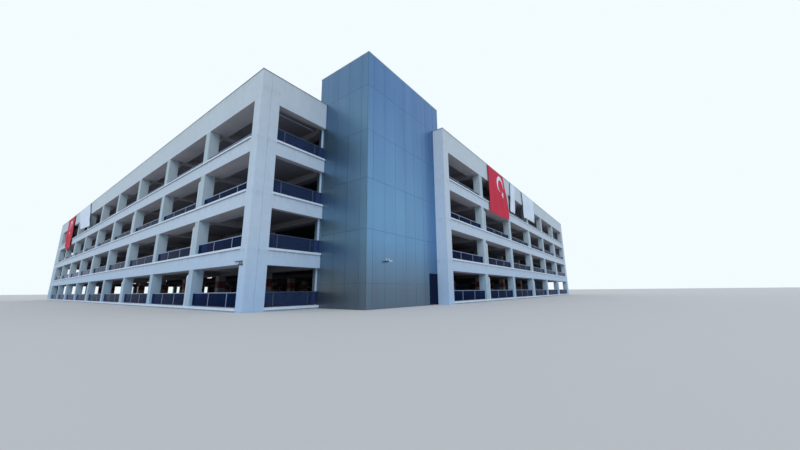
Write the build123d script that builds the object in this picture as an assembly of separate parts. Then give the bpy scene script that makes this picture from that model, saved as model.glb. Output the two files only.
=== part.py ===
from build123d import *
import os

# Half-scale multi storey car park with a clad stair tower. Millimetres, +Z up.
# The facades are laid out from the near corner of the building at (0, 0); every
# piece is moved at the end so that the origin is the middle of the base.

# Storeys
STOREYS = 4
STOREY = 1600.0
OPENING_TOP = 1225.0          # underside of the first ring beam
SILL_TOP = 105.0              # top of the ground sill
SILL_HEIGHT = 70.0
SILL_NOSE = 30.0              # how far a sill stands out of the facade
SILL_FALL = 10.0              # the nose slopes down this much
PLINTH_DEPTH = 320.0          # sills, plinths and upstands, from the facade inward
PARAPET_HEIGHT = 940.0
CAP_HEIGHT = 25.0
CAP_NOSE = 10.0
CAP_FALL = 6.0                # the capping slopes down to the outside
CAP_JOINT = 1.0               # open mitre at the corners
PANEL = 100.0                 # thickness of spandrel and parapet panels

# Slabs and beams
SLAB = 125.0
UPSTAND = 150.0               # from the deck up to the sill
GROUND_SLAB = 40.0
RING_BEAM_DEPTH = 575.0       # facade face to the inner face of the ring beam
FRONT_BEAM_DEPTH = 200.0      # the same for the short bay, under its thinner edge strip
BEAM_WIDTH = 300.0
SLAB_JOINT = 10.0

# Plan
DEPTH = 35750.0               # left facade, front corner to back corner
WIDTH = 30500.0               # back facade
WING_START = 6253.0
WING_PROJECTION = 2440.0      # wing front before the left section's front
CORNER_FRONT = 585.0          # corner pier, width on the front and back
CORNER_SIDE = 350.0           # corner pier, width on the long sides
WING_PIER = 407.0
END_WALL = 1950.0             # closed end of the long sides, from the back corner
FIRST_ROW = 3450.0            # first pillar of the left facade
ROW_PITCH = 3815.0
ROWS = 8
FIRST_WING_LINE = 9965.0      # first pillar of the wing
WING_PITCH = 3965.0
WING_LINES = 5
INNER_PITCH = 3685.0          # column lines behind the tower
INNER_LINES = 2

# Pillars and columns
PILLAR_WIDTH = 315.0
PILLAR_DEPTH = 320.0
PIER_JOINT = 300.0            # upright joint in the near corner pier, from the corner
PIER_JOINT_WIDTH = 8.0
COLUMN = 300.0
END_POST = 45.0
END_POST_BEHIND_GUARD = 10.0

# Infill between the pillars of the right side and of part of the back
INFILL_RECESS = 110.0
INFILL = 80.0
CLOSED_BACK_BAYS = 4          # from the right corner

# Guards
GUARD_HEIGHTS = [400.0, 325.0, 255.0, 150.0]   # top of the rail above the sill
FRONT_GUARD_HEIGHT = 410.0    # the short bay beside the tower
FRONT_POST_TO_TOWER = 356.0
GUARD_RECESS = 70.0
RAIL_WIDTH = 30.0
RAIL_HEIGHT = 22.0
POST_WIDTH = 25.0
POST_DEPTH = 12.0
GUARD_POSTS = 2
GUARD_FIELD = 1130.0          # post pitch
GUARD_SEAT = 0.3              # posts stop this much under the rail
GLASS = 8.0
GLASS_CLEARANCE = 25.0        # below the sheet

# Tower
TOWER_START = 2356.0
TOWER_PROJECTION = 1992.0
TOWER_BACK = 352.0
TOWER_HEIGHT = 8110.0
TOWER_WALL = 100.0
CLADDING = 20.0
CLADDING_JOINT = 6.0
CLADDING_FIRST_SEAM = 715.0
CLADDING_ROW = 1550.0
CLADDING_WIDTH = 551.0
CLADDING_FRONT_EDGE = 258.0   # narrow first column on the front
CLADDING_LEFT_EDGE = 290.0    # narrow first column on the left face
TOWER_FLOOR = 20.0
TOWER_ROOF = 120.0
TOWER_ROOF_BELOW_TOP = 260.0
TOWER_CAP = 25.0

# Door in the tower
DOOR_WIDTH = 530.0
DOOR_HEIGHT = 1050.0
DOOR_THICKNESS = 22.0
DOOR_GAP = 8.0
DOOR_RECESS = 7.0
FRAME_WIDTH = 20.0
DOOR_TO_PIER = 28.0
HINGES = 3
HINGE_INSET = 120.0           # first and last hinge from the leaf's ends
KNUCKLE_RADIUS = 7.0
KNUCKLE_HEIGHT = 30.0
KNUCKLE_OUT = 9.0             # hinge axis in front of the cladding
HINGE_PLATE = 25.0
HINGE_CLEARANCE = 0.3
HANDLE_LENGTH = 60.0
HANDLE_STANDOFF = 30.0
HANDLE_BAR = 10.0
HANDLE_HEIGHT = 520.0
HANDLE_EDGE = 40.0

# Banners
BANNER_THICKNESS = 10.0
BANNER_CLEARANCE = 0.3        # in front of the battens and sills
BATTEN_HEIGHT = 20.0
BANNER_TOP_GAP = 60.0         # banner top below the parapet top

# Lights
LIGHT_LENGTH = 500.0
LIGHT_WIDTH = 60.0
LIGHT_HEIGHT = 40.0
LIT_STOREYS = 2

# Derived levels
parapet_top = OPENING_TOP + (STOREYS - 1) * STOREY + PARAPET_HEIGHT
banner_stand = SILL_NOSE + BANNER_CLEARANCE
tower_end = WING_START + WING_PIER
wing_front = -WING_PROJECTION
tower_front = -TOWER_PROJECTION
wing_length = WIDTH - WING_START

# Column grid
rows = [FIRST_ROW + ROW_PITCH * k for k in range(ROWS)]
front_row = FIRST_ROW - ROW_PITCH
wing_lines = [FIRST_WING_LINE + WING_PITCH * k for k in range(WING_LINES)]
inner_lines = [FIRST_WING_LINE - INNER_PITCH * (INNER_LINES - k) for k in range(INNER_LINES)]
lines = inner_lines + wing_lines

x_low = -banner_stand - BANNER_THICKNESS
x_high = WIDTH + SILL_NOSE
y_low = wing_front - banner_stand - BANNER_THICKNESS
y_high = DEPTH + SILL_NOSE
to_centre = Pos(-(x_low + x_high) / 2, -(y_low + y_high) / 2, 0)


def soffit(level):
    """Underside of the ring beam over a storey, 0 being the ground storey."""
    return OPENING_TOP + STOREY * level


def sill(level):
    """Top of the sill of a storey."""
    return SILL_TOP + STOREY * level


def deck(level):
    """Top of the floor of a storey."""
    return GROUND_SLAB if level == 0 else sill(level) - UPSTAND


def block(x0, x1, y0, y1, z0, z1):
    """A box from its lowest to its highest corner, in plan from the near corner."""
    return Pos((x0 + x1) / 2, (y0 + y1) / 2, (z0 + z1) / 2) * Box(x1 - x0, y1 - y0, z1 - z0)


class Side:
    """One facade: u runs along it, v runs inward from its face and z is up.

    Pillars are given by their centres and walls by their two ends."""

    def __init__(self, x, y, heading, length, first_pier, last_pier, pillars, walls=()):
        self.place = Location((x, y, 0), (0, 0, heading))
        self.length = length
        self.start = first_pier
        self.end = length - last_pier
        half = PILLAR_WIDTH / 2
        self.pillars = sorted([(u - half, u + half) for u in pillars] + list(walls))

    def block(self, u0, u1, v0, v1, z0, z1):
        return self.place * block(u0, u1, v0, v1, z0, z1)

    def run(self, v0, v1, z0, z1):
        """A straight piece from pier to pier."""
        return self.block(self.start, self.end, v0, v1, z0, z1)

    def sheet(self, points, v0, v1):
        """A flat piece of the outline points (u, z), from v0 to v1."""
        plane = Plane(origin=(0, v1, 0), x_dir=(1, 0, 0), z_dir=(0, -1, 0))
        return self.place * extrude(plane * make_face(Polyline(*points, close=True)), v1 - v0)

    def section(self, points, u0, u1):
        """A piece of the outline points (v, z), carried from u0 to u1."""
        plane = Plane(origin=(u0, 0, 0), x_dir=(0, 1, 0), z_dir=(1, 0, 0))
        return self.place * extrude(plane * make_face(Polyline(*points, close=True)), u1 - u0)

    def bays(self):
        """The clear widths between pillars, as (u0, u1)."""
        edges = [self.start]
        for u0, u1 in self.pillars:
            edges += [u0, u1]
        edges.append(self.end)
        return [(u0, u1) for u0, u1 in zip(edges[0::2], edges[1::2]) if u1 > u0]


side_depth = DEPTH - wing_front
left = Side(0, DEPTH, 270, DEPTH, CORNER_SIDE, CORNER_SIDE, [DEPTH - y for y in rows],
            walls=[(CORNER_SIDE, END_WALL)])
front = Side(0, 0, 0, TOWER_START, CORNER_FRONT, 0, [])
wing = Side(WING_START, wing_front, 0, wing_length, WING_PIER, CORNER_FRONT,
            [x - WING_START for x in wing_lines])
right = Side(WIDTH, wing_front, 90, side_depth, CORNER_SIDE, CORNER_SIDE,
             [y - wing_front for y in [front_row] + rows],
             walls=[(side_depth - END_WALL, side_depth - CORNER_SIDE)])
back = Side(WIDTH, DEPTH, 180, WIDTH, CORNER_FRONT, CORNER_FRONT, [WIDTH - x for x in lines])
sides = [left, front, wing, right, back]


def is_closed(side, number, level):
    """The right side is closed but for the ground storey's first bay, and so are the
    back's bays next to it."""
    if side is right:
        return level > 0 or number > 0
    return side is back and number < CLOSED_BACK_BAYS


def bays(level, closed):
    """The closed or the open bays of a storey, as (side, u0, u1)."""
    return [(side, u0, u1) for side in sides for number, (u0, u1) in enumerate(side.bays())
            if is_closed(side, number, level) == closed]


def plinths():
    return [side.run(0, PLINTH_DEPTH, 0, SILL_TOP - SILL_HEIGHT) for side in sides]


def sills(level):
    """Copings with a sloping nose that stands out of the facade, under the openings."""
    top = sill(level)
    low = top - SILL_HEIGHT
    points = [(-SILL_NOSE, low), (PLINTH_DEPTH, low), (PLINTH_DEPTH, top), (0, top),
              (-SILL_NOSE, top - SILL_FALL)]
    return [side.section(points, side.start, side.end) for side in sides]


def infill(level):
    """Recessed walls in the closed bays."""
    return [side.block(u0, u1, INFILL_RECESS, INFILL_RECESS + INFILL, sill(level), soffit(level))
            for side, u0, u1 in bays(level, True)]


def spandrels(level):
    """Panels that close the facade from one row of openings to the next, with the
    infill of the storey below."""
    panels = [side.run(0, PANEL, soffit(level - 1), sill(level) - SILL_HEIGHT) for side in sides]
    return panels + infill(level - 1)


def ring_beams(level):
    """Beams behind the spandrels, with an upstand under the sills."""
    low = soffit(level - 1)
    floor_top = deck(level)
    upstand = [] if level == STOREYS else [(PLINTH_DEPTH, floor_top), (PLINTH_DEPTH, sill(level) - SILL_HEIGHT)]
    outer_top = upstand[-1][1] if upstand else floor_top
    beams = []
    for side in sides:
        points = [(PANEL, low)]
        if side is front:
            points += [(FRONT_BEAM_DEPTH, low), (FRONT_BEAM_DEPTH, floor_top - SLAB),
                       (RING_BEAM_DEPTH, floor_top - SLAB)]
        else:
            points += [(RING_BEAM_DEPTH, low)]
        points += [(RING_BEAM_DEPTH, floor_top)] + upstand + [(PANEL, outer_top)]
        beams.append(side.section(points, side.start, side.end))
    beams.append(block(TOWER_START + SLAB_JOINT, tower_end - SLAB_JOINT, TOWER_BACK - CLADDING,
                       RING_BEAM_DEPTH, low, floor_top))
    return beams


def slab_panels(inset, z0, z1):
    """Three slab panels with movement joints, inset from the facades."""
    half = SLAB_JOINT / 2
    split = rows[0]
    edge = tower_end
    return [
        block(inset, edge - SLAB_JOINT, RING_BEAM_DEPTH, split - half, z0, z1),
        block(edge, WIDTH - inset, wing_front + inset, split - half, z0, z1),
        block(inset, WIDTH - inset, split + half, DEPTH - inset, z0, z1),
    ]


def ground_slab():
    """The ground floor, also in the strip beside the tower and the strip behind it."""
    panels = slab_panels(CORNER_SIDE, 0, GROUND_SLAB)
    panels.append(block(CORNER_FRONT, TOWER_START - SLAB_JOINT, PLINTH_DEPTH,
                        RING_BEAM_DEPTH - SLAB_JOINT, 0, GROUND_SLAB))
    panels.append(block(TOWER_START, tower_end - SLAB_JOINT, TOWER_BACK - CLADDING,
                        RING_BEAM_DEPTH - SLAB_JOINT, 0, GROUND_SLAB))
    return panels


def deck_slab(level):
    top = deck(level)
    return slab_panels(RING_BEAM_DEPTH, top - SLAB, top)


def row_beams(level):
    """Main beams from front to back on each column line, as low as the ring beams,
    and short ones on the rows from the side ring beams to the first line."""
    low = soffit(level - 1)
    top = deck(level) - SLAB
    half = BEAM_WIDTH / 2
    beams = []
    for x in lines:
        y0 = RING_BEAM_DEPTH if x in inner_lines else wing_front + RING_BEAM_DEPTH
        beams.append(block(x - half, x + half, y0, DEPTH - RING_BEAM_DEPTH, low, top))
    left_end = lines[0] - half - SLAB_JOINT
    right_start = lines[-1] + half + SLAB_JOINT
    for y in rows:
        beams.append(block(RING_BEAM_DEPTH, left_end, y - half, y + half, low, top))
    for y in [front_row] + rows:
        beams.append(block(right_start, WIDTH - RING_BEAM_DEPTH, y - half, y + half, low, top))
    return beams


def columns(level):
    """Square columns on the grid, from a floor to the main beams over it."""
    half = COLUMN / 2
    spots = [(x, y) for x in lines for y in rows] + [(x, front_row) for x in wing_lines]
    return [block(x - half, x + half, y - half, y + half, deck(level), soffit(level)) for x, y in spots]


def pillars(level):
    """Facade pillars and end walls that stand on the sills, flush with the facade."""
    return [side.block(u0, u1, 0, PILLAR_DEPTH, sill(level), soffit(level))
            for side in sides for u0, u1 in side.pillars]


def corner_pier(x_side, y_side, x_width, y_width, x_sign, y_sign):
    """A corner pier up to the roof, with the parapet's two returns over it."""
    roof_top = deck(STOREYS)
    top = parapet_top - CAP_HEIGHT
    def corner_block(dx, dy, z0, z1):
        xs = sorted((x_side, x_side + x_sign * dx))
        ys = sorted((y_side, y_side + y_sign * dy))
        return block(*xs, *ys, z0, z1)
    pier = corner_block(x_width, y_width, 0, roof_top)
    pier += corner_block(x_width, PANEL, roof_top, top)
    pier += corner_block(PANEL, y_width, roof_top, top)
    return pier


def corner_piers():
    """The piers; the near one has an upright open joint in its front face."""
    half = PIER_JOINT_WIDTH / 2
    near = corner_pier(0, 0, CORNER_FRONT, CORNER_SIDE, 1, 1)
    near -= block(PIER_JOINT - half, PIER_JOINT + half, 0, PIER_JOINT_WIDTH, 0, parapet_top - CAP_HEIGHT)
    return [
        near,
        corner_pier(0, DEPTH, CORNER_FRONT, CORNER_SIDE, 1, -1),
        corner_pier(WIDTH, DEPTH, CORNER_FRONT, CORNER_SIDE, -1, -1),
        corner_pier(WIDTH, wing_front, CORNER_FRONT, CORNER_SIDE, -1, 1),
        corner_pier(WING_START, wing_front, WING_PIER, WING_PROJECTION - TOWER_PROJECTION, 1, 1),
    ]


def parapets():
    """Panels from the top row of openings to the capping, with the top storey's infill."""
    panels = [side.run(0, PANEL, soffit(STOREYS - 1), parapet_top - CAP_HEIGHT) for side in sides]
    return panels + infill(STOREYS - 1)


def parapet_caps():
    """A capping whose sloping profile is carried round the parapet, from the tower's
    left side round the building to the tower's front, with open mitres at the corners."""
    z0 = parapet_top - CAP_HEIGHT
    inner = PANEL + CAP_NOSE
    section = [(-CAP_NOSE, z0), (-CAP_NOSE, parapet_top - CAP_FALL), (inner, parapet_top), (inner, z0)]
    corners = [(0, 0), (0, DEPTH), (WIDTH, DEPTH), (WIDTH, wing_front), (WING_START, wing_front)]
    route = Polyline((TOWER_START, 0), *corners, (WING_START, tower_front))
    start = Plane(origin=(TOWER_START, 0, 0), x_dir=(0, 1, 0), z_dir=(1, 0, 0))
    ring = sweep(start * make_face(Polyline(*section, close=True)), path=route, transition=Transition.RIGHT)
    for turn, (x, y) in zip((45, -45, 45, -45, 45), corners):
        ring -= Pos(x, y, z0) * Rot(0, 0, turn) * Box(4 * inner, CAP_JOINT, 4 * CAP_HEIGHT)
    return ring


def guard_height(side, level):
    return FRONT_GUARD_HEIGHT if side is front else GUARD_HEIGHTS[level]


def guard_posts(side, u0, u1):
    """Where a bay's posts stand, a field apart from the end away from the near corner."""
    steps = range(1, GUARD_POSTS + 1)
    if side is left:
        posts = [u0 + GUARD_FIELD * k for k in steps]
    elif side is front:
        posts = [u1 - FRONT_POST_TO_TOWER - GUARD_FIELD * (k - 1) for k in steps]
    else:
        posts = [u1 - GUARD_FIELD * k for k in steps]
    return [u for u in posts if u0 + POST_WIDTH < u < u1 - POST_WIDTH]


def guard_frames(level):
    """A top rail from pillar to pillar in each bay, over two posts on the sill."""
    base = sill(level)
    half = POST_WIDTH / 2
    pieces = []
    for side, u0, u1 in bays(level, False):
        rail_top = base + guard_height(side, level)
        rail_low = rail_top - RAIL_HEIGHT
        pieces.append(side.block(u0, u1, GUARD_RECESS, GUARD_RECESS + RAIL_WIDTH, rail_low, rail_top))
        for u in guard_posts(side, u0, u1):
            pieces.append(side.block(u - half, u + half, GUARD_RECESS, GUARD_RECESS + POST_DEPTH,
                                     base, rail_low - GUARD_SEAT))
    return pieces


def guard_glass(level):
    """A sheet of tinted glass behind the posts of each bay, under the rail."""
    base = sill(level)
    v0 = GUARD_RECESS + POST_DEPTH
    return [side.block(u0, u1, v0, v0 + GLASS, base + GLASS_CLEARANCE,
                       base + guard_height(side, level) - RAIL_HEIGHT)
            for side, u0, u1 in bays(level, False)]


def end_post():
    """A slender white post behind the short front bay's guard, against the tower."""
    y0 = GUARD_RECESS + RAIL_WIDTH + END_POST_BEHIND_GUARD
    return [block(TOWER_START - END_POST, TOWER_START, y0, y0 + END_POST, sill(level), soffit(level))
            for level in range(STOREYS)]


# Tower walls
door_right = WING_START - DOOR_TO_PIER
door_left = door_right - DOOR_WIDTH
frame_left = door_left - DOOR_GAP - FRAME_WIDTH
frame_right = door_right + DOOR_GAP + FRAME_WIDTH
door_top = TOWER_FLOOR + DOOR_GAP + DOOR_HEIGHT
frame_top = door_top + DOOR_GAP + FRAME_WIDTH
wall_top = TOWER_HEIGHT - TOWER_CAP
wall_x0 = TOWER_START + CLADDING
wall_x1 = tower_end - CLADDING
wall_y0 = tower_front + CLADDING
wall_y1 = TOWER_BACK - CLADDING
inner_x0 = wall_x0 + TOWER_WALL
inner_x1 = wall_x1 - TOWER_WALL
inner_y0 = wall_y0 + TOWER_WALL
inner_y1 = wall_y1 - TOWER_WALL


def tower_walls():
    """The tower's walls, split beside and over the doorway."""
    return {
        "tower_wall_front": block(wall_x0, frame_left, wall_y0, inner_y0, 0, wall_top),
        "tower_wall_beside_door": block(frame_right, wall_x1, wall_y0, inner_y0, 0, wall_top),
        "tower_wall_over_door": block(frame_left, frame_right, wall_y0, inner_y0, frame_top, wall_top),
        "tower_wall_left": block(wall_x0, inner_x0, inner_y0, wall_y1, 0, wall_top),
        "tower_wall_right": block(inner_x1, wall_x1, inner_y0, wall_y1, 0, wall_top),
        "tower_wall_back": block(inner_x0, inner_x1, inner_y1, wall_y1, 0, wall_top),
    }


def seams(first, pitch, low, high):
    """Edges of a row of panels from low to high, with seams every pitch from first."""
    edges = [low]
    seam = first
    while seam < high - CLADDING_JOINT:
        if seam > low + CLADDING_JOINT:
            edges.append(seam)
        seam += pitch
    edges.append(high)
    return list(zip(edges[:-1], edges[1:]))


def cladding_panels(along, up, place):
    """Panels with open joints; place turns (a0, a1, z0, z1) into a block."""
    half = CLADDING_JOINT / 2
    return [place(a0 + half, a1 - half, z0 + half, z1 - half) for a0, a1 in along for z0, z1 in up]


def cladding_front():
    """Front panels: full columns up to the door frame, short ones over the door."""
    storeys = seams(CLADDING_FIRST_SEAM, CLADDING_ROW, 0, wall_top)
    columns_left = seams(TOWER_START + CLADDING_FRONT_EDGE, CLADDING_WIDTH, TOWER_START, frame_left)
    def place(a0, a1, z0, z1):
        return block(a0, a1, tower_front, wall_y0, z0, z1)
    panels = cladding_panels(columns_left, storeys, place)
    over = seams(CLADDING_FIRST_SEAM + CLADDING_ROW, CLADDING_ROW, frame_top, wall_top)
    panels += cladding_panels([(frame_left, WING_START)], over, place)
    above_wing = seams(CLADDING_FIRST_SEAM + CLADDING_ROW, CLADDING_ROW, parapet_top, wall_top)
    panels += cladding_panels([(WING_START, tower_end)], above_wing, place)
    return panels


def cladding_left():
    storeys = seams(CLADDING_FIRST_SEAM, CLADDING_ROW, 0, wall_top)
    def place(a0, a1, z0, z1):
        return block(TOWER_START, wall_x0, a0, a1, z0, z1)
    along = seams(tower_front + CLADDING_LEFT_EDGE, CLADDING_WIDTH, wall_y0, wall_y1)
    return cladding_panels(along, storeys, place)


def cladding_over_roof():
    """Panels of the right and back walls, from the roof up."""
    low = deck(STOREYS)
    storeys = seams(CLADDING_FIRST_SEAM, CLADDING_ROW, low, wall_top)
    def place_right(a0, a1, z0, z1):
        return block(wall_x1, tower_end, a0, a1, z0, z1)
    def place_back(a0, a1, z0, z1):
        return block(a0, a1, wall_y1, TOWER_BACK, z0, z1)
    panels = cladding_panels(seams(wall_y0 + CLADDING_WIDTH, CLADDING_WIDTH, wall_y0, wall_y1),
                             storeys, place_right)
    panels += cladding_panels(seams(wall_x0 + CLADDING_WIDTH, CLADDING_WIDTH, wall_x0, wall_x1),
                              storeys, place_back)
    return panels


def tower_caps():
    """The thin capping round the top of the tower."""
    z0, z1 = wall_top, TOWER_HEIGHT
    return [
        block(TOWER_START, tower_end, tower_front, inner_y0, z0, z1),
        block(TOWER_START, tower_end, inner_y1, TOWER_BACK, z0, z1),
        block(TOWER_START, inner_x0, inner_y0 + SLAB_JOINT, inner_y1 - SLAB_JOINT, z0, z1),
        block(inner_x1, tower_end, inner_y0 + SLAB_JOINT, inner_y1 - SLAB_JOINT, z0, z1),
    ]


hinge_x = door_left - DOOR_GAP / 2
hinge_y = tower_front - KNUCKLE_OUT
leaf_low = TOWER_FLOOR + DOOR_GAP


def hinge_heights():
    """Bottom of each frame knuckle, spread evenly up the leaf."""
    first = leaf_low + HINGE_INSET
    step = (DOOR_HEIGHT - 2 * HINGE_INSET - 2 * KNUCKLE_HEIGHT) / (HINGES - 1)
    return [first + step * k for k in range(HINGES)]


def knuckle(z):
    return Pos(hinge_x, hinge_y, z + KNUCKLE_HEIGHT / 2) * Cylinder(KNUCKLE_RADIUS, KNUCKLE_HEIGHT)


def door_frame():
    """Jambs and head of the door frame, with the fixed knuckles of its hinges."""
    jamb_top = frame_top - FRAME_WIDTH
    frame = block(frame_left, frame_left + FRAME_WIDTH, tower_front, inner_y0, 0, frame_top)
    frame += block(frame_right - FRAME_WIDTH, frame_right, tower_front, inner_y0, 0, frame_top)
    frame += block(frame_left + FRAME_WIDTH, frame_right - FRAME_WIDTH, tower_front, inner_y0,
                   jamb_top, frame_top)
    for z in hinge_heights():
        frame += knuckle(z)
        frame += block(hinge_x - HINGE_PLATE, hinge_x, hinge_y, tower_front, z, z + KNUCKLE_HEIGHT)
    return frame


def door_leaf():
    """The leaf, with knuckles that sit on those of the frame."""
    y0 = tower_front + DOOR_RECESS
    leaf = block(door_left, door_right, y0, y0 + DOOR_THICKNESS, leaf_low, door_top)
    for z in hinge_heights():
        z += KNUCKLE_HEIGHT + HINGE_CLEARANCE
        leaf += knuckle(z)
        leaf += block(hinge_x, hinge_x + HINGE_PLATE, hinge_y, y0, z, z + KNUCKLE_HEIGHT)
    return leaf


def door_handle():
    """A lever on the leaf's outer face: a round spindle and a bar."""
    face = tower_front + DOOR_RECESS
    x = door_right - HANDLE_EDGE
    spindle = Pos(x, face - HANDLE_STANDOFF / 2, HANDLE_HEIGHT) * Rot(90, 0, 0) * Cylinder(
        HANDLE_BAR / 2, HANDLE_STANDOFF)
    bar = block(x - HANDLE_LENGTH, x + HANDLE_BAR / 2, face - HANDLE_STANDOFF - HANDLE_BAR,
                face - HANDLE_STANDOFF, HANDLE_HEIGHT - HANDLE_BAR / 2, HANDLE_HEIGHT + HANDLE_BAR / 2)
    return spindle + bar


banner_top = parapet_top - BANNER_TOP_GAP

# Outlines of the banners: side, and corners as (place along the facade in plan, height)
RED_BANNERS = [
    (wing, [(10910, banner_top), (13225, banner_top), (13345, 6205), (13575, 5715), (13760, 5100),
            (13735, 4435), (12290, 4345), (10795, 4380), (10890, 6045)]),
    (left, [(31500, banner_top), (28660, banner_top), (28300, 5575), (28200, 4460), (28035, 4120),
            (30215, 4185), (31035, 4645), (31320, 5285), (31155, 5975)]),
]
WHITE_BANNERS = [
    (wing, [(14500, banner_top), (15420, banner_top), (14960, 5030), (14015, 5000)]),
    (wing, [(16850, banner_top), (19800, banner_top), (19600, 5225), (16885, 5160)]),
    (left, [(27000, banner_top), (22900, banner_top), (21550, 5060), (24950, 5240)]),
]


def on_side(side, a):
    """A place in plan along the left facade or the wing, as u."""
    return DEPTH - a if side is left else a - WING_START


def banners(spec):
    return [side.sheet([(on_side(side, a), z) for a, z in outline],
                       -banner_stand - BANNER_THICKNESS, -banner_stand) for side, outline in spec]


def banner_battens():
    """Battens on the parapet that the banners hang from."""
    bars = []
    for side, outline in RED_BANNERS + WHITE_BANNERS:
        ends = sorted(on_side(side, a) for a, z in outline if z == banner_top)
        bars.append(side.block(*ends, -SILL_NOSE, 0, banner_top - BATTEN_HEIGHT, banner_top))
    return bars


def ceiling_lights(level):
    """Tube lights under the slab, between the column lines in the inner rows of bays."""
    z1 = deck(level + 1) - SLAB
    z0 = z1 - LIGHT_HEIGHT
    half = LIGHT_WIDTH / 2
    lights = []
    for y_near, y_far in zip(rows[1:-1], rows[2:]):
        y = (y_near + y_far - LIGHT_LENGTH) / 2
        for x0, x1 in zip(lines[:-1], lines[1:]):
            x = (x0 + x1) / 2
            lights.append(block(x - half, x + half, y, y + LIGHT_LENGTH, z0, z1))
    return lights


def save(name, solids):
    """Write one node, moved so that the origin is the middle of the base."""
    if not isinstance(solids, list):
        solids = [solids]
    moved = []
    for item in solids:
        moved += (to_centre * item).solids()
    node = Compound(children=moved) if len(moved) > 1 else moved[0]
    export_step(node, os.path.join("parts", name + ".step"))


def main():
    os.makedirs("parts", exist_ok=True)
    save("ground_slab", ground_slab())
    save("plinths", plinths())
    save("corner_piers", corner_piers())
    save("sills", [piece for level in range(STOREYS) for piece in sills(level)])
    save("facade_pillars", [piece for level in range(STOREYS) for piece in pillars(level)])
    save("guard_glass", [piece for level in range(STOREYS) for piece in guard_glass(level)])
    for level in range(STOREYS):
        tag = "_level_%d" % level
        save("inner_columns" + tag, columns(level))
        save("guard_frames" + tag, guard_frames(level))
    floors = range(1, STOREYS + 1)
    save("ring_beams", [piece for level in floors for piece in ring_beams(level)])
    save("row_beams", [piece for level in floors for piece in row_beams(level)])
    for level in floors:
        if level < STOREYS:
            save("spandrels_level_%d" % level, spandrels(level))
        save("roof_deck" if level == STOREYS else "deck_level_%d" % level, deck_slab(level))
    save("parapets", parapets())
    save("parapet_caps", parapet_caps())
    save("end_post", end_post())
    for name, wall in tower_walls().items():
        save(name, wall)
    save("tower_floor", block(inner_x0, inner_x1, inner_y0, inner_y1, 0, TOWER_FLOOR))
    roof_top = TOWER_HEIGHT - TOWER_ROOF_BELOW_TOP
    save("tower_roof", block(inner_x0, inner_x1, inner_y0, inner_y1, roof_top - TOWER_ROOF, roof_top))
    save("tower_cladding_front", cladding_front())
    save("tower_cladding_left", cladding_left())
    save("tower_cladding_over_roof", cladding_over_roof())
    save("tower_caps", tower_caps())
    save("door_frame", door_frame())
    save("door_leaf", door_leaf())
    save("door_handle", door_handle())
    save("banners_red", banners(RED_BANNERS))
    save("banners_white", banners(WHITE_BANNERS))
    save("banner_battens", banner_battens())
    save("ceiling_lights", [light for level in range(LIT_STOREYS) for light in ceiling_lights(level)])


main()
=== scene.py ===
import math

import bpy
import numpy as np
from bpy.props import FloatProperty, FloatVectorProperty, IntProperty, PointerProperty
from mathutils import Matrix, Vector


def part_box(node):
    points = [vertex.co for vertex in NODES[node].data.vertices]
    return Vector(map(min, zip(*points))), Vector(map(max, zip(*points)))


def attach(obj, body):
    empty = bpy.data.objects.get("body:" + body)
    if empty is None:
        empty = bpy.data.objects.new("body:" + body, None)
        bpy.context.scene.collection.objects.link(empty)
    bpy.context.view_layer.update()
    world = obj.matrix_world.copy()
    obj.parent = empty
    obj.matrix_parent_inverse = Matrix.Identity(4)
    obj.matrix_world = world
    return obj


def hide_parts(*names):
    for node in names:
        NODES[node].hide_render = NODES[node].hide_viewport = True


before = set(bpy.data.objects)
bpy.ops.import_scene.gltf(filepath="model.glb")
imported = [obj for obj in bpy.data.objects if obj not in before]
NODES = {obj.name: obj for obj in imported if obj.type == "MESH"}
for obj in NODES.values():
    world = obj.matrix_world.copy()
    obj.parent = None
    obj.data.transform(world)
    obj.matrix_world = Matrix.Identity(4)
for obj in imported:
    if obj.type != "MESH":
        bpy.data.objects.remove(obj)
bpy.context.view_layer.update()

bl_info = {
    "name": "Multi Storey Car Park Finishes",
    "version": (1, 1, 0),
    "blender": (4, 5, 0),
    "location": "View3D > Sidebar > Car Park",
    "description": "Finishes, fittings and banners for the half-scale multi storey car park",
    "category": "Object",
}

BUILDING = "building"

# Heights of the half-scale building, in metres
STOREY = 1.6
SILL_TOP = 0.105
SILL_BOTTOM = 0.035
SOFFIT = 1.225
CAP_UNDERSIDE = 6.965
SLAB_UNDERSIDE = 6.23
STOREYS = 4


# Frame measures

def cad_points(name):
    """The vertices of a CAD node as an array of rows (x, y, z)."""
    mesh = NODES[name].data
    points = np.zeros(len(mesh.vertices) * 3, np.float32)
    mesh.vertices.foreach_get("co", points)
    return points.reshape(-1, 3).astype(float)


pier_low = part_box("corner_piers")[0]
NEAR_X = pier_low.x
WING_Y = pier_low.y
TOWER_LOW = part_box("tower_cladding_front")[0]
near_pier = cad_points("corner_piers")
NEAR_Y = near_pier[near_pier[:, 0] < NEAR_X + 0.01][:, 1].min()


def pillar_edges(axis, line, tolerance=0.01):
    """Lowest and highest place along a facade of each ground pillar on it, with the
    facade given by its axis (0 or 1) and its line: the pillars' corners are sorted
    and taken in pairs."""
    points = cad_points("facade_pillars")
    on_face = np.abs(points[:, 1 - axis] - line) < tolerance
    level = points[:, 2] < SOFFIT + 0.05
    corners = np.unique(np.round(points[on_face & level][:, axis], 4))
    return corners[: len(corners) // 2 * 2].reshape(-1, 2)


# Node trees

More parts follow.
